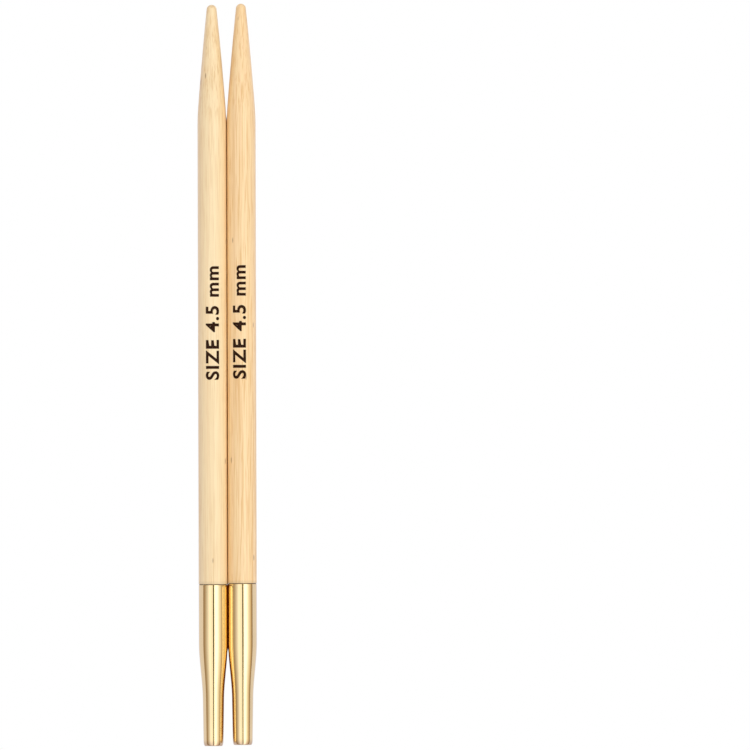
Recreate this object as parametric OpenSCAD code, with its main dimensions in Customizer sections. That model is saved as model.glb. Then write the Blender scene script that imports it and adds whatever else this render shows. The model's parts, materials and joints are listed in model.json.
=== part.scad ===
// Pair of interchangeable tips for a circular knitting needle, in millimetres.
// Bamboo shafts are glued into turned brass ferrules, and each ferrule's neck holds a
// threaded socket for the cable. The tips lie side by side on the ground and point to +Y.

/* [Pair] */
// Gap between the two tips where they lie side by side
pair_gap = 0.08; // [0.05:0.01:5]
// How far the right tip lies ahead of the left one
stagger = 0.16; // [0:0.01:5]
// How far the right tip is rolled to the left about its own axis, in degrees
right_roll = 10; // [-60:1:60]

/* [Shaft] */
// Diameter of the shaft and the ferrule's barrel, which is the needle's size
needle_d = 4.5; // [3.75:0.25:6]
// Length of bamboo that shows, with its point
shaft_len = 90.7; // [60:0.1:120]
// Length over which the point widens to the full diameter
point_len = 17.5; // [12:0.5:25]
// Radius of the rounded nose
nose_r = 0.78; // [0.5:0.01:1]
// How far the point's sides bulge beyond a straight cone
point_belly = 0.06; // [0:0.01:0.1]
// Depth of the blend between the point and the shaft
point_blend = 0.13; // [0.05:0.01:0.3]

/* [Ferrule] */
// Length of the ferrule
ferrule_len = 25.2; // [23:0.1:35]
// Length of the full-width barrel
barrel_len = 9; // [8.6:0.1:11]
// Length of the slim neck
neck_len = 7; // [5:0.1:8]
// Diameter of the neck at its free end
neck_end_d = 3.1; // [2.8:0.05:3.4]
// Diameter of the neck where it starts to widen
neck_root_d = 3.3; // [3:0.05:3.7]
// How far the neck's free end is rounded inwards
end_round = 0.25; // [0.05:0.01:0.3]
// Length of that rounded end
end_round_len = 0.8; // [0.2:0.05:1.5]
// Wall of the barrel round the tenon's socket
barrel_wall = 0.45; // [0.3:0.05:0.7]
// Chamfer on the barrel's outer lip
lip_chamfer = 0.05; // [0.02:0.01:0.15]

/* [Glued joint] */
// Length of the bamboo tenon inside the ferrule
tenon_len = 8.6; // [5:0.1:9]
// Space left behind the tenon for spare glue
glue_pocket = 0.4; // [0.1:0.05:0.6]
// Thickness of the glue film round the tenon
glue_film = 0.05; // [0.02:0.01:0.1]
// Width of the glue line between the bamboo and the ferrule
glue_line = 0.1; // [0.05:0.01:0.3]
// How far the glue line lies below the surface
glue_recess = 0.08; // [0.02:0.01:0.2]

/* [Cable socket] */
// Major diameter of the cable's thread
thread_d = 2; // [1.6:0.1:2.2]
// Pitch of the cable's thread
thread_pitch = 0.4; // [0.35:0.05:0.5]
// Number of thread turns
thread_turns = 14; // [8:1:14]
// Radial clearance of the plain lead-in round the thread
lead_in_clearance = 0.06; // [0.02:0.01:0.1]
// Depth of the plain lead-in
lead_in_len = 1; // [0.5:0.1:1.5]
// Depth of the tap drill beyond the thread
drill_run = 0.6; // [0.2:0.1:1]

/* [Size print] */
// Distance from the ferrule to the print
print_start = 32.1; // [20:0.1:40]
// Height of capitals and figures
cap_h = 2.08; // [1.6:0.02:2.5]
// Height of small letters
small_h = 1.6; // [1.2:0.05:1.8]
// Width of a capital or a figure
letter_w = 1.4; // [1.2:0.05:1.7]
// Spacing of the small letters' upright strokes
leg_pitch = 0.88; // [0.8:0.02:1.1]
// Width of the printed strokes
stroke = 0.38; // [0.3:0.02:0.42]
// Space between letters
letter_gap = 0.48; // [0.3:0.02:0.7]
// Space between words
word_gap = 1.5; // [1:0.1:2]
// Thickness of the ink
ink_film = 0.03; // [0.02:0.01:0.06]

/* [Hidden] */
$fn = 96;

LEFT = -1;
RIGHT = 1;
BAMBOO = "#f5d9a9";
BRASS = "#dcb768";
GLUE = "#4a2a16";
INK = "#1d1815";
SIZE_MARK = "SIZE 4.5 mm";

needle_r = needle_d / 2;
shoulder_y = ferrule_len + glue_line;
tip_len = shoulder_y + shaft_len;
axis_x = (needle_d + pair_gap) / 2;

// The tenon's socket, and the tenon inside it.
socket_r = needle_r - barrel_wall;
socket_y = ferrule_len - tenon_len - glue_pocket;
tenon_r = socket_r - glue_film;
tenon_chamfer = 0.3;

// The point: its nose meets the cone at nose_angle, which is near the cone's own slope.
nose_angle = atan((needle_r - nose_r + 4 * point_belly) / point_len);
nose_end = nose_r * (1 - sin(nose_angle));
nose_end_r = nose_r * cos(nose_angle);
cone_len = point_len - nose_end;
blend_slope = (needle_r - nose_end_r - 4 * point_belly) / cone_len;
point_end = point_len + point_blend / blend_slope;
nose_steps = 8;
point_steps = 30;

// The thread: its profile is cut to five eighths of the full height, with a drilled hole behind.
thread_angle = 60;
drill_point = 118;
thread_depth = 5 / 8 * cos(thread_angle / 2) * thread_pitch;
thread_r = thread_d / 2;
thread_minor_r = thread_r - thread_depth;
thread_crest = thread_pitch / 4;
thread_flank = thread_depth * tan(thread_angle / 2);
thread_end = lead_in_len + thread_turns * thread_pitch;
drill_end = thread_end + drill_run;
drill_cone = thread_minor_r / tan(drill_point / 2);
lead_in_r = thread_r + lead_in_clearance;

// The print's letters: the slanted strokes, the narrow E, the bowl of the 5 and the curls' ends.
slant_w = 1.25 * stroke;
e_w = 0.9 * letter_w;
bowl_r = 0.32 * cap_h;
curl_end = 20;
print_margin = 1;

swell_len = ferrule_len - barrel_len - neck_len;
swell_steps = 20;
end_steps = 6;

// The smaller of two values, with the corner between them rounded by k.
function soft_min(a, b, k) =
    let (h = max(k - abs(a - b), 0) / k) min(a, b) - h * h * k / 4;

// A step from 0 to 1 that starts and ends level.
function smooth_step(t) = t * t * (3 - 2 * t);

// Radius of the point at a distance s behind its tip.
function point_r(s) =
    let (t = (s - nose_end) / cone_len)
    soft_min(
        nose_end_r + (needle_r - nose_end_r) * t + 4 * point_belly * t * (1 - t),
        needle_r, point_blend
    );

// Half outlines are lists of [radius, distance from the neck's free end].
function shaft_outline() = concat(
    [[0, ferrule_len - tenon_len]],
    [[tenon_r - tenon_chamfer, ferrule_len - tenon_len]],
    [[tenon_r, ferrule_len - tenon_len + tenon_chamfer]],
    [[tenon_r, shoulder_y]],
    [[needle_r, shoulder_y]],
    [for (i = [point_steps : -1 : 1])
        let (s = nose_end + (point_end - nose_end) * i / point_steps)
        [point_r(s), tip_len - s]],
    [for (i = [0 : nose_steps - 1])
        let (a = nose_angle + (90 - nose_angle) * i / nose_steps)
        [nose_r * cos(a), tip_len - nose_r + nose_r * sin(a)]],
    [[0, tip_len]]
);

function ferrule_outside() = concat(
    [for (i = [0 : end_steps])
        let (a = 90 * i / end_steps)
        [neck_end_d / 2 - end_round * (1 - sin(a)), end_round_len * (1 - cos(a))]],
    [for (i = [0 : swell_steps])
        let (t = i / swell_steps)
        [neck_root_d / 2 + (needle_d - neck_root_d) / 2 * smooth_step(t), neck_len + swell_len * t]],
    [[needle_r, ferrule_len - lip_chamfer]],
    [[needle_r - lip_chamfer, ferrule_len]]
);

function tenon_socket() = [
    [socket_r, ferrule_len],
    [socket_r, socket_y],
    [0, socket_y]
];

// Ring grooves at the thread's pitch, from the deepest to the first, between crest lands.
function thread_outline() = [
    for (i = [thread_turns - 1 : -1 : 0])
    let (y = lead_in_len + i * thread_pitch)
    each [
        [thread_minor_r, y + thread_pitch - thread_crest / 2],
        [thread_r, y + thread_pitch - thread_crest / 2 - thread_flank],
        [thread_r, y + thread_crest / 2 + thread_flank],
        [thread_minor_r, y + thread_crest / 2]
    ]
];

function cable_socket() = concat(
    [[0, drill_end + drill_cone]],
    [[thread_minor_r, drill_end]],
    thread_outline(),
    [[thread_minor_r, lead_in_len]],
    [[lead_in_r, lead_in_len]],
    [[lead_in_r, 0]]
);

function adhesive_outline() = [
    [tenon_r, ferrule_len - tenon_len + tenon_chamfer],
    [socket_r, ferrule_len - tenon_len + tenon_chamfer],
    [socket_r, ferrule_len],
    [needle_r - glue_recess, ferrule_len],
    [needle_r - glue_recess, shoulder_y],
    [tenon_r, shoulder_y]
];

// A body of revolution that lies along +Y, from its half outline.
module turned(outline) {
    rotate([-90, 0, 0]) rotate_extrude() polygon(outline);
}

// Puts a tip in its place in the pair: resting on the ground, with its roll.
module place(side) {
    translate([side * axis_x, side * stagger / 2 - tip_len / 2, needle_r])
        rotate([0, side == RIGHT ? -right_roll : 0, 0])
            children();
}

module shaft(side) {
    color(BAMBOO) place(side) turned(shaft_outline());
}

module adhesive(side) {
    color(GLUE) place(side) turned(adhesive_outline());
}

module ferrule(side) {
    color(BRASS) place(side)
        turned(concat(ferrule_outside(), tenon_socket(), cable_socket()));
}

// Strokes of the print: a straight bar, a slanted one and an arc round a centre.
module bar(x, y, w, h) {
    translate([x, y]) square([w, h]);
}

module slant(x_low, y_low, x_high, y_high) {
    polygon([[x_low, y_low], [x_low + slant_w, y_low],
        [x_high + slant_w, y_high], [x_high, y_high]]);
}

module arc(x, y, outer_r, from, to) {
    reach = 2 * outer_r;
    mid = (from + to) / 2;
    translate([x, y]) intersection() {
        difference() {
            circle(outer_r);
            circle(outer_r - stroke);
        }
        polygon([[0, 0], reach * [cos(from), sin(from)],
            reach * [cos(mid), sin(mid)], reach * [cos(to), sin(to)]]);
    }
}

module glyph_s() {
    r = (cap_h + stroke) / 4;
    far = letter_w - r;
    arc(r, cap_h - r, r, 90, 270);
    arc(far, cap_h - r, r, curl_end, 90);
    arc(far, r, r, -90, 90);
    arc(r, r, r, 180 + curl_end, 270);
    for (y = [0, 2 * r - stroke, cap_h - stroke])
        bar(r, y, far - r, stroke);
}

module glyph_i() {
    bar(0, 0, stroke, cap_h);
}

module glyph_z() {
    bar(0, cap_h - stroke, letter_w, stroke);
    bar(0, 0, letter_w, stroke);
    slant(0, 0, letter_w - slant_w, cap_h);
}

module glyph_e() {
    bar(0, 0, stroke, cap_h);
    for (y = [0, (cap_h - stroke) / 2, cap_h - stroke])
        bar(0, y, e_w, stroke);
}

module glyph_4() {
    upright = letter_w - 2 * stroke;
    bar(upright, 0, stroke, cap_h);
    bar(0, stroke, letter_w, stroke);
    slant(0, stroke, upright + stroke - slant_w, cap_h);
}

module glyph_5() {
    r = bowl_r;
    far = letter_w - r;
    bar(0, cap_h - stroke, letter_w - stroke / 2, stroke);
    bar(0, 2 * r - stroke, stroke, cap_h - 2 * r + stroke);
    bar(0, 2 * r - stroke, far, stroke);
    arc(far, r, r, -90, 90);
    bar(r, 0, far - r, stroke);
    arc(r, r, r, 180 + curl_end, 270);
}

module glyph_m() {
    r = (leg_pitch + stroke) / 2;
    for (i = [0 : 2])
        bar(i * leg_pitch, 0, stroke, i == 0 ? small_h : small_h - r);
    for (i = [0, 1])
        arc(i * leg_pitch + r, small_h - r, r, 0, 180);
}

module glyph(c) {
    if (c == "S") glyph_s();
    if (c == "I") glyph_i();
    if (c == "Z") glyph_z();
    if (c == "E") glyph_e();
    if (c == "4") glyph_4();
    if (c == "5") glyph_5();
    if (c == "m") glyph_m();
    if (c == ".") bar(0, 0, stroke, stroke);
}

function glyph_w(c) =
    c == " " ? word_gap - 2 * letter_gap :
    c == "I" || c == "." ? stroke :
    c == "E" ? e_w :
    c == "m" ? 2 * leg_pitch + stroke :
    letter_w;

function glyph_x(i) = i == 0 ? 0 : glyph_x(i - 1) + glyph_w(SIZE_MARK[i - 1]) + letter_gap;

// The ink is the part of the upright letters that lies just on top of the shaft.
module size_print(side) {
    print_y = ferrule_len + print_start;
    print_end = print_y + glyph_x(len(SIZE_MARK));
    color(INK) place(side) intersection() {
        translate([cap_h / 2, print_y, 0]) rotate([0, 0, 90])
            linear_extrude(needle_d)
                for (i = [0 : len(SIZE_MARK) - 1])
                    translate([glyph_x(i), 0]) glyph(SIZE_MARK[i]);
        turned([
            [needle_r, print_y - print_margin],
            [needle_r + ink_film, print_y - print_margin],
            [needle_r + ink_film, print_end + print_margin],
            [needle_r, print_end + print_margin]
        ]);
    }
}

shaft(LEFT);  // left_shaft
adhesive(LEFT);  // left_adhesive
ferrule(LEFT);  // left_ferrule
size_print(LEFT);  // left_size_print
shaft(RIGHT);  // right_shaft
adhesive(RIGHT);  // right_adhesive
ferrule(RIGHT);  // right_ferrule
size_print(RIGHT);  // right_size_print
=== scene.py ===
"""Bamboo tips of a circular knitting needle, lying side by side in soft studio light."""

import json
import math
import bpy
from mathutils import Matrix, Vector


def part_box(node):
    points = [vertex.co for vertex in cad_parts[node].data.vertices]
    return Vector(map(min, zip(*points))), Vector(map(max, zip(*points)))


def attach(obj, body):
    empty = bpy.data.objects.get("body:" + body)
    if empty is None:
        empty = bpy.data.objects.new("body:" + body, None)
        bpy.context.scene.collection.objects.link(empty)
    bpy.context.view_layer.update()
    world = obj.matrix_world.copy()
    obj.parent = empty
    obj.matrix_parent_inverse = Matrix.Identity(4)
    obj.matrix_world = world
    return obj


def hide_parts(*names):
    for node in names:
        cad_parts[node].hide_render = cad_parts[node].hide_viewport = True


bl_info = {
    "name": "Knitting Needle Tips",
    "version": (1, 0, 0),
    "blender": (4, 5, 0),
    "location": "View3D > Sidebar > Needle Tips",
    "description": "Bamboo needle tips in turned brass ferrules, with their stage",
    "category": "Add Mesh",
}

from collections import namedtuple

import bmesh
import bpy
from bpy.props import (
    FloatProperty,
    FloatVectorProperty,
    IntProperty,
    PointerProperty,
    StringProperty,
)

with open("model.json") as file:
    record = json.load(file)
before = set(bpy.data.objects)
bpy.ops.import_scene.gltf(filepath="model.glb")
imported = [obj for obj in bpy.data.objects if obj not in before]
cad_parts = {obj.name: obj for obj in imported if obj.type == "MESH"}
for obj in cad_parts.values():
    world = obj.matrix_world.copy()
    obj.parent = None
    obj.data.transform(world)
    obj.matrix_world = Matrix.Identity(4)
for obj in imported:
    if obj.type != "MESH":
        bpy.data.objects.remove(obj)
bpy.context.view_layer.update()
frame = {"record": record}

MM = 0.001

# Two places nearer than this are one, and a pole is a ring too small to stay open.
SEAM = 2e-6
POLE_R = 5e-7

# How far the right tip is rolled about its length, in degrees.
RIGHT_ROLL = -10.0

# Share of the font's size that its capitals take.
CAP_SHARE = 0.682

# Steps of the curved parts of the outlines, and facets of a tap's turn and of a rim's bevel.
POINT_STEPS = 48
NOSE_STEPS = 14
END_STEPS = 10
SWELL_STEPS = 40
SKIN_STEPS = 4
TAP_STEPS = 96
BEVEL_STEPS = 3

# Facets of the form that the print is bent round, of its letters' curves, and the angle up to
# which the letters' sides count as straight.
FORM_FACETS = 256
LETTER_STEPS = 6
STRAIGHT = math.radians(0.5)

# Every value of the softboxes is divided by this for the ramp, which holds no value above 1.
RAMP_TOP = 2.0

# Where the room's dimmer ends begin and are full, as a square of the way along the tips.
ROOM_ENDS = (0.6, 0.95)

# How open the sky is above the table, from 0 to 1, where its tones change into each other: from
# the gap's shade to white, and in the light it sends up, from shade to ember and to full light.
GAP_SKY = (0.25, 0.45)
EMBER_SKY = (0.05, 0.25)
CARD_SKY = (0.36, 0.52)

# Heights above the neck's free end between which the brass's painted shade fades.
PAINTED_END_SHADE_SPAN = (0.1 * MM, 1.1 * MM)

# Stretch of the materials' patterns across, along and through a tip, per metre.
PLAIN = (1, 1, 1)
WANDER = (60, 30, 60)
GRAIN = (1000, 7, 1000)
STREAKS = (1000, 16, 1000)
HAIRS = (1000, 25, 1000)
PATCHES = (500, 60, 500)
SPECKS = (1000, 260, 1000)
POLISH = (9000, 350, 9000)
CLOUDS = (260, 160, 260)
PITS = (1000, 1000, 1000)
GLUE_SKIN = (3000, 3000, 3000)
INK_FIBRES = (5200, 420, 5200)
INK_GRIT = (9000, 9000, 9000)

# Light round the tips by its angle from overhead, clockwise seen from the ferrules: two softboxes
# with a narrow gap between them, and dim horizons. Degrees and colour.
SOFTBOXES = (
    (-90, (0.84, 0.73, 0.79)),
    (-84, (0.33, 0.24, 0.16)),
    (-78, (0.34, 0.25, 0.17)),
    (-61, (0.57, 0.49, 0.46)),
    (-43, (0.85, 0.85, 0.92)),
    (-34, (1.15, 1.14, 1.25)),
    (-27, (1.30, 1.24, 1.32)),
    (-13, (1.12, 1.11, 1.13)),
    (-2.5, (1.08, 1.08, 1.08)),
    (-1, (0.10, 0.07, 0.03)),
    (8.5, (0.10, 0.07, 0.03)),
    (10, (1.70, 1.70, 1.75)),
    (31, (1.95, 1.95, 1.95)),
    (37, (1.60, 1.58, 1.62)),
    (45, (1.18, 1.12, 1.25)),
    (54, (0.95, 0.94, 0.89)),
    (64, (0.86, 0.73, 0.62)),
    (73, (0.61, 0.47, 0.32)),
    (83, (0.29, 0.20, 0.13)),
    (93, (0.45, 0.39, 0.40)),
)

# Each tip's wood: its slot, the name of its tones, how far its pattern is turned in radians, and
# how strongly the hairs show along the shaft and at the point.
WOODS = {
    "left": ("bamboo_pale", "pale", 0.4, (0.45, 0.90)),
    "right": ("bamboo_warm", "warm", 2.3, (0.75, 0.60)),
}

# A tip's place: the middle of its neck's free end, its roll and where its pieces ride.
Tip = namedtuple("Tip", "side body place roll")


def read_tip(side):
    """A tip's place from its cable socket, which lies on its axis, and from its ferrule's end."""
    mounts = {mount["name"]: mount for mount in frame["record"]["mounts"]}
    axis_x, _, axis_z = mounts[f"{side}_cable_socket"]["pos_m"]
    neck_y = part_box(f"{side}_ferrule")[0].y
    roll = RIGHT_ROLL if side == "right" else 0.0
    return Tip(side, f"{side}_tip", (axis_x, neck_y, axis_z), roll)


TIPS = [read_tip("left"), read_tip("right")]
LEFT = TIPS[0]

# Heights above the neck's free end, in both tips alike, and the needle's radius.
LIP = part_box("left_ferrule")[1].y - LEFT.place[1]
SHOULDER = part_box("left_adhesive")[1].y - LEFT.place[1]
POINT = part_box("left_shaft")[1].y - LEFT.place[1]
NEEDLE_R = LEFT.place[2]
TENON_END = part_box("left_shaft")[0].y - LEFT.place[1]
PRINT_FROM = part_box("left_size_print")[0].y - LEFT.place[1]
PRINT_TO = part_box("left_size_print")[1].y - LEFT.place[1]


def length(name, description, default):
    """A property for a length, given in metres."""
    return FloatProperty(
        name=name, description=description, default=default, min=0.0, unit="LENGTH", precision=5
    )


def colour(name, description, default):
    """A property for a linear colour."""
    return FloatVectorProperty(
        name=name, description=description, default=default, subtype="COLOR", min=0.0, max=1.0
    )


def share(name, description, default):
    """A property for a share between 0 and 1."""
    return FloatProperty(
        name=name, description=description, default=default, min=0.0, max=1.0, subtype="FACTOR"
    )


def turn_angle(name, description, default):
    """A property for an angle, given in degrees."""
    return FloatProperty(
        name=name, description=description, default=math.radians(default), subtype="ANGLE"
    )


class TipSizes(bpy.types.PropertyGroup):
    """Sizes of a tip, which are the same for both."""

    segments: IntProperty(
        name="Segments", description="Facets round each turned piece", default=128, min=32, max=256
    )
    point_len: length("Point", "Length over which the point widens to full size", 17.5 * MM)
    nose_r: length("Nose radius", "Radius of the rounded nose", 0.78 * MM)
    point_belly: length("Point belly", "How far the point bulges beyond a cone", 0.06 * MM)
    point_blend: length("Point blend", "Depth of the blend from point to shaft", 0.13 * MM)
    barrel_len: length("Barrel", "Length of the ferrule's full-width barrel", 9 * MM)
    neck_len: length("Neck", "Length of the ferrule's slim neck", 7 * MM)
    neck_end_r: length("Neck end radius", "Radius of the neck at its free end", 1.55 * MM)
    neck_root_r: length("Neck root radius", "Radius of the neck where it widens", 1.65 * MM)
    end_round: length("End rounding", "How far the neck's end is rounded inwards", 0.25 * MM)
    end_round_len: length("End rounding length", "Length of the neck's rounded end", 0.8 * MM)
    lip_bevel: length("Lip bevel", "Bevel on the ferrule's sharp rims", 0.05 * MM)
    tenon_r: length("Tenon radius", "Radius of the bamboo inside the ferrule", 1.75 * MM)
    socket_r: length("Socket radius", "Radius of the ferrule's bamboo socket", 1.8 * MM)
    glue_recess: length("Glue recess", "Depth of the glue line below the surface", 0.08 * MM)
    glue_dip: length("Glue dip", "How far the glue line's skin is hollow", 0.03 * MM)
    glue_pocket: length("Glue pocket", "Space left behind the tenon", 0.4 * MM)
    tenon_chamfer: length("Tenon chamfer", "Chamfer on the tenon's end", 0.3 * MM)


class ThreadSizes(bpy.types.PropertyGroup):
    """Sizes of the threaded cable socket."""

    major_r: length("Major radius", "Radius at the roots of the thread", 1.0 * MM)
    minor_r: length("Minor radius", "Radius at the crests of the thread", 0.7835 * MM)
    pitch: length("Pitch", "Rise of one turn", 0.4 * MM)
    turns: IntProperty(name="Turns", description="Number of turns", default=14, min=1, max=20)
    lead_in_r: length("Lead-in radius", "Radius of the plain lead-in", 1.06 * MM)
    lead_in_len: length("Lead-in", "Depth of the plain lead-in", 1.0 * MM)
    drill_run: length("Drill run", "Depth of the drilled hole beyond the thread", 0.6 * MM)
    drill_point: turn_angle("Drill point", "Angle of the drilled hole's cone", 118)
    profile: turn_angle("Profile", "Angle between the thread's flanks", 60)
    tap_reach: length("Tap reach", "How far the tap reaches inside the crests", 0.06 * MM)


class PrintSizes(bpy.types.PropertyGroup):
    """The printed size mark."""

    mark: StringProperty(name="Mark", description="Text of the size mark", default="SIZE 4.5 mm")
    cap_h: length("Cap height", "Height of the capitals and figures", 2.08 * MM)
    embolden: length("Embolden", "How far the strokes are widened on each side", 0.075 * MM)
    strip: length("Strip", "Width of the strips that bend round the shaft", 0.08 * MM)
    film: length("Ink film", "Thickness of the ink", 0.03 * MM)
    spacing: FloatProperty(name="Spacing", description="Spacing of the letters", default=1.12)


class Grain(bpy.types.PropertyGroup):
    """How strongly each layer of the bamboo's pattern shows."""

    cream: share("Cream", "Share of the lightest wood everywhere", 0.45)
    bands: share("Bands", "How much more of it the light bands have", 0.25)
    band_blush: share("Band blush", "Pinkish tone of some bands", 0.15)
    strand_blush: share("Strand blush", "Pinkish tone of some strands", 0.35)
    strands: share("Strands", "Fibre tone of some strands", 0.20)
    streaks: share("Streaks", "Fibre tone of the streaks", 0.16)
    bundles: share("Bundles", "Fibre tone of the fibre bundles", 0.55)
    lines: share("Lines", "Fibre tone of the lines between bands", 0.35)
    stain: share("Stain", "Tone of the glue's stain", 0.35)
    flecks: share("Flecks", "Tone of the dark flecks", 0.7)
    hairs_from: length("Hairs from", "Distance from the nose where hairs change", 30 * MM)
    hairs_to: length("Hairs to", "Distance from the nose where hairs are as at the point", 15 * MM)
    stain_len: length("Stain length", "How far the glue has stained the wood", 0.7 * MM)
    relief: length("Relief", "Depth of the wood's fine relief", 0.012 * MM)


class Finishes(bpy.types.PropertyGroup):
    """Colours of the finishes, of the painted shade on the brass and the table, and of the light
    that the table sends up.
    """

    pale_cream: colour("Pale cream", "Lightest wood of the left shaft", (0.96, 0.795, 0.485))
    pale_straw: colour("Pale straw", "Main wood of the left shaft", (0.95, 0.75, 0.43))
    pale_blush: colour("Pale blush", "Pinkish wood of the left shaft", (0.95, 0.70, 0.40))
    pale_fibre: colour("Pale fibre", "Fibre bundles of the left shaft", (0.81, 0.57, 0.275))
    warm_cream: colour("Warm cream", "Lightest wood of the right shaft", (0.98, 0.77, 0.44))
    warm_straw: colour("Warm straw", "Main wood of the right shaft", (0.96, 0.70, 0.36))
    warm_blush: colour("Warm blush", "Pinkish wood of the right shaft", (0.95, 0.66, 0.38))
    warm_fibre: colour("Warm fibre", "Fibre bundles of the right shaft", (0.80, 0.485, 0.185))
    fleck: colour("Fleck", "Small dark flecks in the wood", (0.36, 0.21, 0.11))
    brass: colour("Brass", "Polished brass", (0.95, 0.755, 0.41))
    glue: colour("Glue", "Dark glue line", (0.045, 0.018, 0.007))
    stain: colour("Stain", "Wood that the glue has stained", (0.52, 0.42, 0.24))
    # Painted shade that darkens the brass near the necks' ends.
    painted_end_shade: colour("Painted end shade", "Brass near the necks' ends", (0.62, 0.45, 0.30))
    ink: colour("Ink", "Printing ink", (0.026, 0.008, 0.002))
    # Painted shade on the table that the camera sees; also the light card's tone where the sky above
    # it is closed.
    shade: colour("Shade", "Tone of the table deep between the tips", (0.090, 0.012, 0.001))
    ember: colour("Ember", "Light that the table sends up between the necks", (0.24, 0.10, 0.03))
    card: colour("Card", "Light that the open table sends up", (0.79, 0.77, 0.90))
    white: colour("White", "Tone of the open table", (1.0, 1.0, 1.0))


class StageSizes(bpy.types.PropertyGroup):
    """Camera, table and light."""

    view_w: length("View width", "Width that the camera sees", 117.36 * MM)
    view_x: FloatProperty(
        name="View middle", description="Middle of the view", default=23.13 * MM, unit="LENGTH"
    )
    view_y: FloatProperty(
        name="View rise", description="Rise of the view", default=-0.08 * MM, unit="LENGTH"
    )
    view_h: length("Camera height", "Height of the camera", 0.6)
    lean: turn_angle("Lean", "Turn of the view", -0.15)
    floor_w: length("Floor width", "Width of the table", 6.0)
    reach: length("Shade reach", "How near a thing must be to shade the table", 12 * MM)
    card_drop: length("Card drop", "How far the light card lies below the table", 0.01 * MM)
    gap_w: length("Gap shade", "Half width of the shade along the gap", 0.06 * MM)
    open_len: length("Gap opening", "Length over which the gap's shade fades out", 0.8 * MM)
    light: FloatProperty(name="Light", description="Brightness of the softboxes", default=1.0)
    ends_dim: share("Dim ends", "How much dimmer the room is beyond the tips' ends", 0.45)


class NeedleSettings(bpy.types.PropertyGroup):
    """All settings of the needle tips."""

    tip: PointerProperty(type=TipSizes)
    thread: PointerProperty(type=ThreadSizes)
    size_mark: PointerProperty(type=PrintSizes)
    grain: PointerProperty(type=Grain)
    finish: PointerProperty(type=Finishes)
    stage: PointerProperty(type=StageSizes)


# Shader building


class Value:
    """A number from a node's socket. Arithmetic on it adds Math nodes."""

    def __init__(self, shader, socket):
        self.shader = shader
        self.socket = socket

    def math(self, operation, *operands):
        """A Math node on these operands."""
        inputs = dict(enumerate(operands))
        return self.shader.node("ShaderNodeMath", {"operation": operation}, inputs).value()

    def __add__(self, other):
        return self.math("ADD", self, other)

    def __radd__(self, other):
        return self.math("ADD", other, self)

    def __sub__(self, other):
        return self.math("SUBTRACT", self, other)

    def __rsub__(self, other):
        return self.math("SUBTRACT", other, self)

    def __mul__(self, other):
        return self.math("MULTIPLY", self, other)

    def __rmul__(self, other):
        return self.math("MULTIPLY", other, self)

    def __truediv__(self, other):
        return self.math("DIVIDE", self, other)

    def step(self, low, high):
        """0 below low and 1 above high, with a smooth rise between them."""
        inputs = {"Value": self, "From Min": low, "From Max": high}
        settings = {"interpolation_type": "SMOOTHSTEP"}
        return self.shader.node("ShaderNodeMapRange", settings, inputs).value()


class Node:
    """A node whose outputs are read as values."""

    def __init__(self, shader, node):
        self.shader = shader
        self.node = node

    def value(self, output=0):
        """One of the node's outputs, by name or number."""
        return Value(self.shader, self.node.outputs[output])


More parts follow.
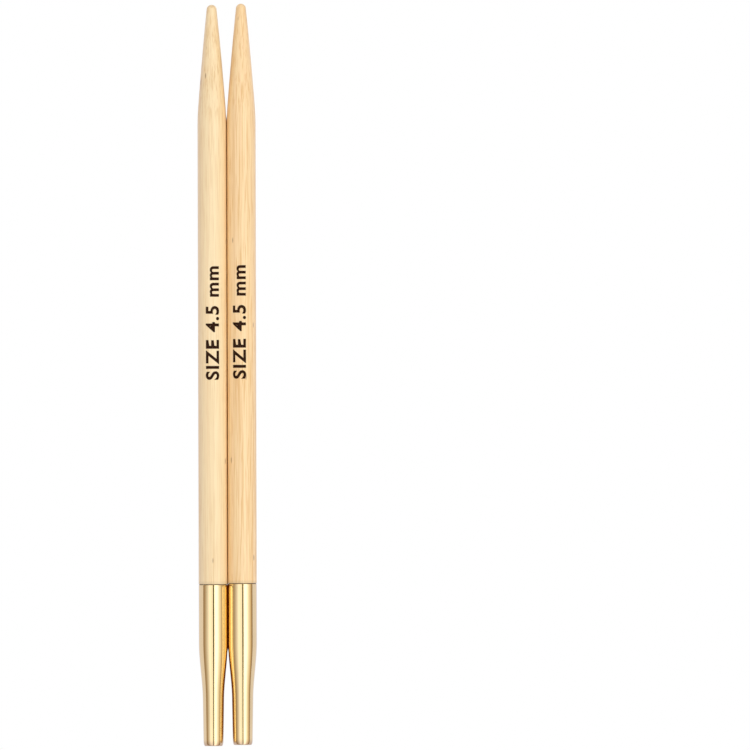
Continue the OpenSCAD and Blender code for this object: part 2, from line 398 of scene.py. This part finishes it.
class Shader:
    """Builds the node tree of one material or of the world."""

    def __init__(self, owner):
        owner.use_nodes = True
        self.owner = owner
        self.tree = owner.node_tree
        self.tree.nodes.clear()

    def node(self, kind, settings=None, inputs=None):
        """Adds a node: its settings first, then the values or links of its sockets."""
        node = self.tree.nodes.new(kind)
        for name, setting in (settings or {}).items():
            if name == "stops":
                self.set_stops(node.color_ramp, setting)
            else:
                setattr(node, name, setting)
        for name, value in (inputs or {}).items():
            if isinstance(value, Value):
                self.tree.links.new(value.socket, node.inputs[name])
            else:
                node.inputs[name].default_value = value
        return Node(self, node)

    @staticmethod
    def set_stops(ramp, stops):
        """Fills a colour ramp with (position, colour) stops."""
        while len(ramp.elements) < len(stops):
            ramp.elements.new(1.0)
        for element, (position, shade) in zip(ramp.elements, stops):
            element.position = position
            element.color = (*shade, 1.0)

    def mix(self, factor, first, second):
        """Mixes two colours."""
        inputs = {0: factor, 6: rgba(first), 7: rgba(second)}
        return self.node("ShaderNodeMix", {"data_type": "RGBA"}, inputs).value(2)

    def place(self, origin, scale, turn=0.0):
        """Object coordinates moved to an origin, turned about Y and scaled along X, Y and Z."""
        coords = self.node("ShaderNodeTexCoord").value("Object")
        middle = self.node(
            "ShaderNodeVectorMath",
            {"operation": "SUBTRACT"},
            {0: coords, 1: origin},
        ).value()
        inputs = {"Vector": middle, "Rotation": (0.0, turn, 0.0), "Scale": scale}
        return self.node("ShaderNodeMapping", None, inputs).value()

    def noise(self, coords, scale, detail, roughness=0.5):
        """A noise from 0 to 1."""
        inputs = {"Vector": coords, "Scale": scale, "Detail": detail, "Roughness": roughness}
        return self.node("ShaderNodeTexNoise", None, inputs).value(0)

    def split(self, vector):
        """A node with the X, Y and Z of a vector."""
        return self.node("ShaderNodeSeparateXYZ", None, {0: vector})

    def along(self, origin):
        """How far along the tips a point lies from an origin."""
        return self.split(self.place(origin, PLAIN)).value("Y")

    def spots(self, coords, scale, randomness=1.0):
        """Random cells: three random numbers for each, and the distance to the nearest middle."""
        inputs = {"Vector": coords, "Scale": scale, "Randomness": randomness}
        cell = self.node("ShaderNodeTexVoronoi", {"feature": "F1"}, inputs)
        tones = self.node("ShaderNodeSeparateColor", None, {0: cell.value("Color")})
        return [tones.value(i) for i in range(3)], cell.value("Distance")

    def edges(self, coords, scale):
        """The distance to the nearest edge of the same random cells."""
        inputs = {"Vector": coords, "Scale": scale}
        settings = {"feature": "DISTANCE_TO_EDGE"}
        return self.node("ShaderNodeTexVoronoi", settings, inputs).value("Distance")

    def dots(self, coords, scale, radius, rarity):
        """Soft dots in the few cells whose random number is high."""
        tones, middle = self.spots(coords, scale)
        return (1 - middle.step(*radius)) * tones[0].step(*rarity)

    def bump(self, height, depth):
        """A normal from a height between 0 and 1, which stands for a depth in metres."""
        inputs = {"Height": height, "Distance": depth, "Strength": 1.0}
        return self.node("ShaderNodeBump", None, inputs).value()

    def surface(self, inputs):
        """Ends the tree in a Principled surface."""
        principled = self.node("ShaderNodeBsdfPrincipled", None, inputs).value()
        self.node("ShaderNodeOutputMaterial", None, {"Surface": principled})
        return self.owner


def rgba(shade):
    """A colour with alpha, or a link as it is."""
    return shade if isinstance(shade, Value) else (*shade[:3], 1.0)


def bamboo(name, tip, turn, hairs, tones, grain):
    """Bamboo: long bands and fibre bundles along the shaft, which the point cuts into flames."""
    cream, straw, blush, fibre, fleck, stain = tones
    shader = Shader(bpy.data.materials.new(name))
    origin = tip.place
    wander = shader.noise(shader.place(origin, WANDER, turn), 1.0, 1.0)
    across = shader.place(origin, GRAIN, turn)
    shift = shader.node("ShaderNodeCombineXYZ", None, {"X": 0.4 * wander, "Z": 0.3 * wander})
    fibres = shader.node(
        "ShaderNodeVectorMath", {"operation": "ADD"}, {0: across, 1: shift.value()}
    ).value()

    band, _ = shader.spots(fibres, 0.95)
    band_edge = shader.edges(fibres, 0.95)
    strand, _ = shader.spots(fibres, 4.4)
    hair = shader.noise(shader.place(origin, HAIRS, turn), 6.0, 2.0)
    streak = shader.noise(shader.place(origin, STREAKS, turn + 1.0), 2.8, 3.0, 0.6)
    patchy = shader.noise(shader.place(origin, PATCHES, turn), 1.0, 2.0)
    _, bundle = shader.spots(fibres, 1.9, 0.9)
    bundles = (1 - bundle.step(0.10, 0.26)) * patchy.step(0.40, 0.60)
    lines = (1 - band_edge.step(0.02, 0.07)) * patchy.step(0.30, 0.70)
    flecks = shader.dots(shader.place(origin, SPECKS, turn), 0.8, (0.05, 0.14), (0.70, 0.72))

    along = shader.along(origin)
    pointward = along.step(POINT - grain.hairs_from, POINT - grain.hairs_to)
    hairy = hairs[0] + (hairs[1] - hairs[0]) * pointward
    stained = 1 - along.step(SHOULDER - 0.1 * MM, SHOULDER + grain.stain_len)

    light = (0.6 * band[0] + 0.4 * hair).step(0.2, 0.65)
    wood = shader.mix(grain.cream + grain.bands * light, straw, cream)
    layers = (
        (grain.band_blush * band[1].step(0.6, 0.9), blush),
        (grain.strand_blush * strand[1].step(0.6, 0.95), blush),
        (grain.strands * strand[0].step(0.5, 0.95), fibre),
        (grain.streaks * streak.step(0.50, 0.68), fibre),
        (grain.bundles * bundles, fibre),
        (grain.lines * lines, fibre),
        (hairy * hair.step(0.50, 0.66), fibre),
        (grain.stain * stained, stain),
        (grain.flecks * flecks, fleck),
    )
    for amount, tone in layers:
        wood = shader.mix(amount, wood, tone)

    height = 0.5 * streak + 0.4 * hair - 0.4 * bundles - 0.3 * lines
    return shader.surface(
        {
            "Base Color": wood,
            "Roughness": 0.42 + 0.16 * streak,
            "Normal": shader.bump(height, grain.relief),
            "IOR": 1.48,
            "Coat Weight": 0.30,
            "Coat Roughness": 0.32,
        }
    )


def scaled(tone, factor):
    """A colour made darker or lighter by a factor."""
    return tuple(channel * factor for channel in tone)


def brass(name, tip, metal, painted_end_shade):
    """Polished brass with faint lengthwise polishing lines, a few pits and a painted shade at the
    neck's end.
    """
    shader = Shader(bpy.data.materials.new(name))
    lines = shader.noise(shader.place(tip.place, POLISH), 1.0, 3.0, 0.6)
    cloud = shader.noise(shader.place(tip.place, CLOUDS), 1.0, 3.0)
    pit = shader.dots(shader.place(tip.place, PITS), 1.1, (0.03, 0.08), (0.8, 0.82))
    # Painted shade: the brass turns darker and more orange towards the neck's free end.
    neck_end_shade_mask = 1 - shader.along(tip.place).step(*PAINTED_END_SHADE_SPAN)
    shade = shader.mix(0.5 * cloud.step(0.4, 0.7), metal, scaled(metal, 0.9))
    shade = shader.mix(0.6 * pit, shade, scaled(metal, 0.35))
    shade = shader.mix(0.8 * neck_end_shade_mask, shade, painted_end_shade)
    return shader.surface(
        {
            "Base Color": shade,
            "Metallic": 1.0,
            "Roughness": 0.05 + 0.05 * cloud + 0.03 * lines + 0.3 * pit,
            "Normal": shader.bump(lines - 2.0 * pit, 0.0004 * MM),
        }
    )


def glue(name, tip, shade):
    """Dark set glue with an uneven skin."""
    shader = Shader(bpy.data.materials.new(name))
    skin = shader.noise(shader.place(tip.place, GLUE_SKIN), 1.0, 3.0)
    return shader.surface(
        {
            "Base Color": shader.mix(skin.step(0.4, 0.7), shade, scaled(shade, 1.4)),
            "Roughness": 0.45 + 0.2 * skin,
            "Normal": shader.bump(skin, 0.01 * MM),
        }
    )


def ink(name, tip, shade, wood):
    """Printed ink that thins a little over the fibres."""
    shader = Shader(bpy.data.materials.new(name))
    thin = shader.noise(shader.place(tip.place, INK_FIBRES), 1.0, 3.0, 0.65)
    grit = shader.noise(shader.place(tip.place, INK_GRIT), 1.0, 2.0)
    bare = 0.22 * thin.step(0.6, 0.78) + 0.1 * grit.step(0.62, 0.75)
    return shader.surface(
        {
            "Base Color": shader.mix(bare, shade, wood),
            "Roughness": 0.5 + 0.25 * grit,
            "Specular IOR Level": 0.1,
            "Normal": shader.bump(thin + 0.5 * grit, 0.006 * MM),
        }
    )


# Modelling


def deselect():
    """Leaves no object selected."""
    bpy.ops.object.select_all(action="DESELECT")


def select_only(piece):
    """Makes a piece the only selected object and the active one."""
    deselect()
    piece.select_set(True)
    bpy.context.view_layer.objects.active = piece


def select_rings(mesh, wanted):
    """In edit mode, selects the vertices whose (radius, height) is wanted, and their edges."""
    bpy.ops.mesh.select_all(action="DESELECT")
    edit = bmesh.from_edit_mesh(mesh)
    for vertex in edit.verts:
        radius = math.hypot(vertex.co.x, vertex.co.y)
        vertex.select = wanted(radius, vertex.co.z)
    edit.select_flush(True)
    bmesh.update_edit_mesh(mesh)


def turn_piece(name, outline, segments):
    """Turns a closed solid round Z: a ring is drawn through the (radius, height) outline."""
    deselect()
    radius, height = outline[0]
    bpy.ops.mesh.primitive_circle_add(
        vertices=segments, radius=max(radius, POLE_R), location=(0.0, 0.0, 0.0)
    )
    piece = bpy.context.object
    piece.name = name
    piece.data.name = name
    bpy.ops.object.mode_set(mode="EDIT")
    bpy.ops.mesh.select_all(action="SELECT")
    bpy.ops.transform.translate(value=(0.0, 0.0, height))
    last_r = max(radius, POLE_R)
    for radius, next_height in outline[1:]:
        radius = max(radius, POLE_R)
        bpy.ops.mesh.extrude_region_move(
            TRANSFORM_OT_translate={"value": (0.0, 0.0, next_height - height)}
        )
        grow = radius / last_r
        bpy.ops.transform.resize(value=(grow, grow, 1.0), center_override=(0.0, 0.0, next_height))
        last_r = radius
        height = next_height
    bpy.ops.mesh.select_all(action="SELECT")
    bpy.ops.mesh.remove_doubles(threshold=SEAM)
    bpy.ops.mesh.normals_make_consistent(inside=False)
    bpy.ops.object.mode_set(mode="OBJECT")
    return piece


def bevel_rims(piece, rims, width):
    """Bevels the rims at these (radius, height) places."""
    bpy.ops.object.mode_set(mode="EDIT")
    for rim_r, rim_height in rims:
        select_rings(
            piece.data,
            lambda radius, height: abs(radius - rim_r) < SEAM and abs(height - rim_height) < SEAM,
        )
        bpy.ops.mesh.bevel(offset=width, segments=BEVEL_STEPS, affect="EDGES")
    bpy.ops.object.mode_set(mode="OBJECT")


def finish_piece(piece, tip, node, material, smooth=30.0):
    """Shades a piece, lays it in its tip's place and hands it to the frame."""
    select_only(piece)
    bpy.ops.object.shade_smooth_by_angle(angle=math.radians(smooth))
    piece.rotation_euler = (math.radians(-90.0), math.radians(tip.roll), 0.0)
    piece.location = tip.place
    bpy.ops.object.transform_apply(location=True, rotation=True, scale=True)
    piece.data.materials.clear()
    piece.data.materials.append(material)
    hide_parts(node)
    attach(piece, tip.body)


def apply_modifier(piece, kind, **settings):
    """Adds a modifier with its settings and applies it."""
    select_only(piece)
    modifier = piece.modifiers.new(kind.title(), kind)
    for name, setting in settings.items():
        setattr(modifier, name, setting)
    bpy.ops.object.modifier_apply(modifier=modifier.name)


def smooth_step(t):
    """A step from 0 to 1 that starts and ends level."""
    return t * t * (3.0 - 2.0 * t)


def soft_min(first, second, blend):
    """The smaller of two values, with the corner between them rounded."""
    overlap = max(blend - abs(first - second), 0.0) / blend
    return min(first, second) - overlap * overlap * blend / 4.0


def shaft_outline(tip):
    """Half outline of a shaft, from its tenon's end to its nose."""
    outline = [
        (0.0, TENON_END),
        (tip.tenon_r - tip.tenon_chamfer, TENON_END),
        (tip.tenon_r, TENON_END + tip.tenon_chamfer),
        (tip.tenon_r, SHOULDER),
        (NEEDLE_R, SHOULDER),
    ]
    belly = 4.0 * tip.point_belly
    nose_angle = math.atan((NEEDLE_R - tip.nose_r + belly) / tip.point_len)
    nose_end = tip.nose_r * (1.0 - math.sin(nose_angle))
    nose_end_r = tip.nose_r * math.cos(nose_angle)
    cone_len = tip.point_len - nose_end
    slope = (NEEDLE_R - nose_end_r - belly) / cone_len
    point_end = tip.point_len + tip.point_blend / slope
    for i in range(POINT_STEPS, 0, -1):
        back = nose_end + (point_end - nose_end) * i / POINT_STEPS
        t = (back - nose_end) / cone_len
        cone_r = nose_end_r + (NEEDLE_R - nose_end_r) * t + belly * t * (1.0 - t)
        outline.append((soft_min(cone_r, NEEDLE_R, tip.point_blend), POINT - back))
    for i in range(NOSE_STEPS + 1):
        angle = nose_angle + (math.pi / 2.0 - nose_angle) * i / NOSE_STEPS
        outline.append(
            (tip.nose_r * math.cos(angle), POINT - tip.nose_r * (1.0 - math.sin(angle)))
        )
    return outline


def ferrule_outline(tip, thread):
    """Half outline of a ferrule: up the cable socket, round the outside, down the tenon's socket."""
    thread_end = thread.lead_in_len + thread.turns * thread.pitch
    drill_end = thread_end + thread.drill_run
    outline = [
        (0.0, drill_end + thread.minor_r / math.tan(thread.drill_point / 2.0)),
        (thread.minor_r, drill_end),
        (thread.minor_r, thread.lead_in_len),
        (thread.lead_in_r, thread.lead_in_len),
        (thread.lead_in_r, 0.0),
    ]
    for i in range(END_STEPS + 1):
        angle = math.pi / 2.0 * i / END_STEPS
        outline.append(
            (
                tip.neck_end_r - tip.end_round * (1.0 - math.sin(angle)),
                tip.end_round_len * (1.0 - math.cos(angle)),
            )
        )
    swell_len = LIP - tip.barrel_len - tip.neck_len
    for i in range(SWELL_STEPS + 1):
        t = i / SWELL_STEPS
        radius = tip.neck_root_r + (NEEDLE_R - tip.neck_root_r) * smooth_step(t)
        outline.append((radius, tip.neck_len + swell_len * t))
    socket_end = TENON_END - tip.glue_pocket
    outline += [
        (NEEDLE_R, LIP),
        (tip.socket_r, LIP),
        (tip.socket_r, socket_end),
        (0.0, socket_end),
    ]
    return outline


def glue_outline(tip):
    """Closed outline of the glue: a film round the tenon and a line with a hollow skin."""
    start = TENON_END + tip.tenon_chamfer
    skin_r = NEEDLE_R - tip.glue_recess
    skin = [
        (skin_r - tip.glue_dip * math.sin(math.pi * t), LIP + (SHOULDER - LIP) * t)
        for t in (i / SKIN_STEPS for i in range(SKIN_STEPS + 1))
    ]
    return [
        (tip.tenon_r, start),
        (tip.socket_r, start),
        (tip.socket_r, LIP),
        *skin,
        (tip.tenon_r, SHOULDER),
        (tip.tenon_r, start),
    ]


def make_tap(thread):
    """A tap for the cable socket: one helical ridge that cuts the thread's grooves."""
    inner_r = thread.minor_r - thread.tap_reach
    root_half = thread.pitch / 16.0
    base_half = root_half + (thread.major_r - inner_r) * math.tan(thread.profile / 2.0)
    start = thread.lead_in_len - thread.pitch
    deselect()
    bpy.ops.mesh.primitive_plane_add(size=1.0)
    tap = bpy.context.object
    corners = [
        (inner_r, start - base_half),
        (thread.major_r, start - root_half),
        (thread.major_r, start + root_half),
        (inner_r, start + base_half),
    ]
    bpy.ops.object.mode_set(mode="EDIT")
    bpy.ops.mesh.delete(type="ONLY_FACE")
    edit = bmesh.from_edit_mesh(tap.data)
    edit.verts.ensure_lookup_table()
    loop = [edit.verts[i] for i in (0, 1, 3, 2)]
    for vertex, (radius, height) in zip(loop, corners):
        vertex.co = (radius, 0.0, height)
    bmesh.update_edit_mesh(tap.data)
    bpy.ops.object.mode_set(mode="OBJECT")
    apply_modifier(
        tap,
        "SCREW",
        axis="Z",
        steps=TAP_STEPS,
        render_steps=TAP_STEPS,
        iterations=thread.turns + 1,
        screw_offset=thread.pitch,
        use_merge_vertices=False,
    )
    bpy.ops.object.mode_set(mode="EDIT")
    bpy.ops.mesh.select_all(action="SELECT")
    bpy.ops.mesh.fill_holes(sides=4)
    bpy.ops.mesh.select_all(action="SELECT")
    bpy.ops.mesh.normals_make_consistent(inside=False)
    bpy.ops.object.mode_set(mode="OBJECT")
    return tap


class NEEDLE_OT_make_shafts(bpy.types.Operator):
    """Turn the bamboo shafts with their points and tenons"""

    bl_idname = "needle.make_shafts"
    bl_label = "Make Shafts"

    def execute(self, context):
        settings = context.scene.needle_tips
        for tip in TIPS:
            slot, wood, turn, hairs = WOODS[tip.side]
            names = [f"{wood}_{tone}" for tone in ("cream", "straw", "blush", "fibre")]
            names += ["fleck", "stain"]
            tones = [tuple(getattr(settings.finish, name)) for name in names]
            material = bamboo(slot, tip, turn, hairs, tones, settings.grain)
            piece = turn_piece(
                f"{tip.side}_bamboo_shaft", shaft_outline(settings.tip), settings.tip.segments
            )
            bevel_rims(piece, [(NEEDLE_R, SHOULDER)], settings.tip.glue_recess)
            finish_piece(piece, tip, f"{tip.side}_shaft", material)
        return {"FINISHED"}


class NEEDLE_OT_make_ferrules(bpy.types.Operator):
    """Turn the brass ferrules and tap their cable sockets"""

    bl_idname = "needle.make_ferrules"
    bl_label = "Make Ferrules"

    def execute(self, context):
        settings = context.scene.needle_tips
        sizes = settings.tip
        thread = settings.thread
        for tip in TIPS:
            piece = turn_piece(
                f"{tip.side}_brass_ferrule", ferrule_outline(sizes, thread), sizes.segments
            )
            rims = [(NEEDLE_R, LIP), (sizes.socket_r, LIP), (thread.lead_in_r, 0.0)]
            bevel_rims(piece, rims, sizes.lip_bevel)
            tap = make_tap(thread)
            apply_modifier(piece, "BOOLEAN", operation="DIFFERENCE", solver="EXACT", object=tap)
            bpy.data.objects.remove(tap)
            metal, painted_end_shade = tuple(settings.finish.brass), tuple(settings.finish.painted_end_shade)
            material = brass(f"{tip.side}_polished_brass", tip, metal, painted_end_shade)
            finish_piece(piece, tip, f"{tip.side}_ferrule", material)
        return {"FINISHED"}


class NEEDLE_OT_make_glue(bpy.types.Operator):
    """Fill the joints between bamboo and brass with glue"""

    bl_idname = "needle.make_glue"
    bl_label = "Make Glue"

    def execute(self, context):
        settings = context.scene.needle_tips
        for tip in TIPS:
            piece = turn_piece(
                f"{tip.side}_glue_film", glue_outline(settings.tip), settings.tip.segments
            )
            material = glue(f"{tip.side}_set_glue", tip, tuple(settings.finish.glue))
            finish_piece(piece, tip, f"{tip.side}_adhesive", material)
        return {"FINISHED"}


class NEEDLE_OT_make_prints(bpy.types.Operator):
    """Print the size mark on both shafts"""

    bl_idname = "needle.make_prints"
    bl_label = "Make Size Prints"

    def execute(self, context):
        settings = context.scene.needle_tips
        for tip in TIPS:
            piece = print_mark(f"{tip.side}_ink_mark", settings)
            wood = getattr(settings.finish, f"{WOODS[tip.side][1]}_fibre")
            material = ink(f"{tip.side}_ink", tip, tuple(settings.finish.ink), tuple(wood))
            finish_piece(piece, tip, f"{tip.side}_size_print", material)
        return {"FINISHED"}


def print_mark(name, settings):
    """The size mark as a film of ink, bent round a shaft that stands along Z."""
    sizes = settings.size_mark
    deselect()
    bpy.ops.object.text_add()
    mark = bpy.context.object
    mark.name = name
    mark.data.body = sizes.mark
    mark.data.size = sizes.cap_h / CAP_SHARE
    mark.data.offset = sizes.embolden
    mark.data.space_character = sizes.spacing
    mark.data.resolution_u = LETTER_STEPS
    bpy.ops.object.convert(target="MESH")
    mark = bpy.context.object
    select_only(mark)
    low, high = mesh_box(mark)
    stretch = (PRINT_TO - PRINT_FROM) / (high[0] - low[0])
    squeeze = sizes.cap_h / (high[1] - low[1])
    bpy.ops.object.mode_set(mode="EDIT")
    bpy.ops.mesh.select_all(action="SELECT")
    bpy.ops.transform.translate(value=(-low[0], -(low[1] + high[1]) / 2.0, 0.0))
    bpy.ops.transform.resize(value=(stretch, squeeze, 1.0), center_override=(0.0, 0.0, 0.0))
    bpy.ops.mesh.dissolve_limited(angle_limit=STRAIGHT)
    strips = round(sizes.cap_h / sizes.strip)
    for i in range(1, strips):
        bpy.ops.mesh.select_all(action="SELECT")
        across = sizes.cap_h * (i / strips - 0.5)
        bpy.ops.mesh.bisect(plane_co=(0.0, across, 0.0), plane_no=(0.0, 1.0, 0.0))
    bpy.ops.object.mode_set(mode="OBJECT")
    mark.rotation_euler = (math.radians(90.0), math.radians(-90.0), 0.0)
    mark.location = (0.0, -2.0 * NEEDLE_R, PRINT_FROM)
    bpy.ops.object.transform_apply(location=True, rotation=True, scale=True)
    bpy.ops.mesh.primitive_cylinder_add(
        vertices=FORM_FACETS, radius=NEEDLE_R, depth=POINT, location=(0.0, 0.0, POINT / 2.0)
    )
    form = bpy.context.object
    apply_modifier(
        mark,
        "SHRINKWRAP",
        target=form,
        wrap_method="PROJECT",
        use_project_y=True,
        use_positive_direction=True,
        use_negative_direction=False,
    )
    bpy.data.objects.remove(form)
    apply_modifier(mark, "SOLIDIFY", thickness=sizes.film, offset=1.0)
    select_only(mark)
    return mark


def mesh_box(piece):
    """Lowest and highest corners of a mesh in its own coordinates."""
    places = [vertex.co for vertex in piece.data.vertices]
    low = [min(place[axis] for place in places) for axis in range(3)]
    high = [max(place[axis] for place in places) for axis in range(3)]
    return low, high


def light_world(stage):
    """Softboxes along both sides of the tips, and a dimmer room beyond their ends."""
    shader = Shader(bpy.context.scene.world or bpy.data.worlds.new("studio"))
    bpy.context.scene.world = shader.owner
    way = shader.node("ShaderNodeTexCoord").value("Generated")
    split = shader.split(way)
    across = split.value("X")
    lean = across.math("ARCTAN2", across, split.value("Z"))
    along = split.value("Y")
    stops = [(0.5 + angle / 360.0, scaled(tone, 1.0 / RAMP_TOP)) for angle, tone in SOFTBOXES]
    position = 0.5 + lean / (2.0 * math.pi)
    ramp = shader.node("ShaderNodeValToRGB", {"stops": stops}, {0: position}).value(0)
    ends = (along * along).step(*ROOM_ENDS)
    strength = RAMP_TOP * stage.light * (1 - stage.ends_dim * ends)
    background = shader.node(
        "ShaderNodeBackground", None, {"Color": ramp, "Strength": strength}
    ).value()
    shader.node("ShaderNodeOutputWorld", None, {"Surface": background})


def glowing(name, glow):
    """A material that glows with a colour and reflects nothing."""
    shader = glow.shader if isinstance(glow, Value) else Shader(bpy.data.materials.new(name))
    return shader.surface(
        {
            "Base Color": (0.0, 0.0, 0.0, 1.0),
            "Specular IOR Level": 0.0,
            "Emission Color": rgba(glow),
            "Emission Strength": 1.0,
        }
    )


def sky_above(name, reach):
    """A new material's shader, and how open the sky is above each point of its surface."""
    shader = Shader(bpy.data.materials.new(name))
    node = shader.node("ShaderNodeAmbientOcclusion", {"samples": 16}, {"Distance": reach})
    return shader, node.value("AO")


def seen_table(reach, gap_w, opens, shade, white):
    """The table as the camera sees it: white, with a painted shade along the gap where the tips
    touch.
    """
    shader, sky = sky_above("lit_table", reach)
    split = shader.split(shader.node("ShaderNodeTexCoord").value("Object"))
    across = split.value("X").math("ABSOLUTE", split.value("X"))
    gap = 1 - across.step(gap_w, 1.2 * gap_w)
    along = split.value("Y")
    full = along.step(*opens[0]) * (1 - along.step(*opens[1]))
    # Painted shade: dark along the gap where the tips touch and the sky above is closed.
    painted_gap_shade = gap * full * (1 - sky.step(*GAP_SKY))
    return glowing("lit_table", shader.mix(painted_gap_shade, white, shade))


def sent_light(reach, shade, ember, card):
    """The light that the table sends up: less and warmer where the tips close over it."""
    shader, sky = sky_above("light_card", reach)
    warm = shader.mix(sky.step(*EMBER_SKY), shade, ember)
    return glowing("light_card", shader.mix(sky.step(*CARD_SKY), warm, card))


def add_slab(name, stage, top, materials):
    """A slab under the tips with one material on its upper face and one on the rest."""
    deselect()
    thickness = stage.floor_w / 6.0
    bpy.ops.mesh.primitive_cube_add(
        size=1.0,
        location=(0.0, 0.0, top - thickness / 2.0),
        scale=(stage.floor_w, stage.floor_w, thickness),
    )
    slab = bpy.context.object
    slab.name = name
    for material in materials:
        slab.data.materials.append(material)
    for face in slab.data.polygons:
        face.material_index = 0 if face.normal.z > 0.5 else 1
    bpy.ops.object.transform_apply(location=True, rotation=False, scale=True)
    return slab


class NEEDLE_OT_set_stage(bpy.types.Operator):
    """Set the camera, the white table and the soft light"""

    bl_idname = "needle.set_stage"
    bl_label = "Set Stage"

    def execute(self, context):
        settings = context.scene.needle_tips
        stage = settings.stage
        deselect()
        bpy.ops.object.camera_add(
            location=(stage.view_x, stage.view_y, stage.view_h), rotation=(0.0, 0.0, stage.lean)
        )
        camera = context.object
        camera.data.type = "ORTHO"
        camera.data.ortho_scale = stage.view_w
        context.scene.camera = camera
        shade, ember, card, white = (
            tuple(getattr(settings.finish, tone)) for tone in ("shade", "ember", "card", "white")
        )
        opening = LEFT.place[1] + LIP - settings.tip.barrel_len
        point = LEFT.place[1] + POINT - settings.tip.point_len
        fade = stage.open_len
        opens = [(opening - 2 * fade, opening - fade), (point - fade, point + fade / 2)]
        seen = seen_table(stage.reach, stage.gap_w, opens, shade, white)
        plain = glowing("plain_table", white)
        table = add_slab("table", stage, 0.0, (seen, plain))
        table.visible_diffuse = False
        table.visible_glossy = False
        table.visible_transmission = False
        table.visible_shadow = False
        sent = sent_light(stage.reach, shade, ember, card)
        add_slab("light_card", stage, -stage.card_drop, (sent, plain)).visible_camera = False
        light_world(stage)
        context.scene.view_settings.view_transform = "Standard"
        return {"FINISHED"}


class NEEDLE_PT_tips(bpy.types.Panel):
    """Lists the steps that make the needle tips"""

    bl_idname = "NEEDLE_PT_tips"
    bl_label = "Needle Tips"
    bl_space_type = "VIEW_3D"
    bl_region_type = "UI"
    bl_category = "Needle Tips"

    def draw(self, context):
        for step in STEPS:
            self.layout.operator(step.bl_idname)


GROUPS = (TipSizes, ThreadSizes, PrintSizes, Grain, Finishes, StageSizes, NeedleSettings)
STEPS = (
    NEEDLE_OT_make_shafts,
    NEEDLE_OT_make_ferrules,
    NEEDLE_OT_make_glue,
    NEEDLE_OT_make_prints,
    NEEDLE_OT_set_stage,
)


def register():
    """Adds the settings, the operators and the panel."""
    for group in (*GROUPS, *STEPS, NEEDLE_PT_tips):
        bpy.utils.register_class(group)
    bpy.types.Scene.needle_tips = PointerProperty(type=NeedleSettings)


def unregister():
    """Removes what register added."""
    del bpy.types.Scene.needle_tips
    for group in reversed((*GROUPS, *STEPS, NEEDLE_PT_tips)):
        bpy.utils.unregister_class(group)


def main():
    """Makes the tips and their stage."""
    register()
    bpy.ops.needle.make_shafts()
    bpy.ops.needle.make_ferrules()
    bpy.ops.needle.make_glue()
    bpy.ops.needle.make_prints()
    bpy.ops.needle.set_stage()


if __name__ == "__main__":
    main()
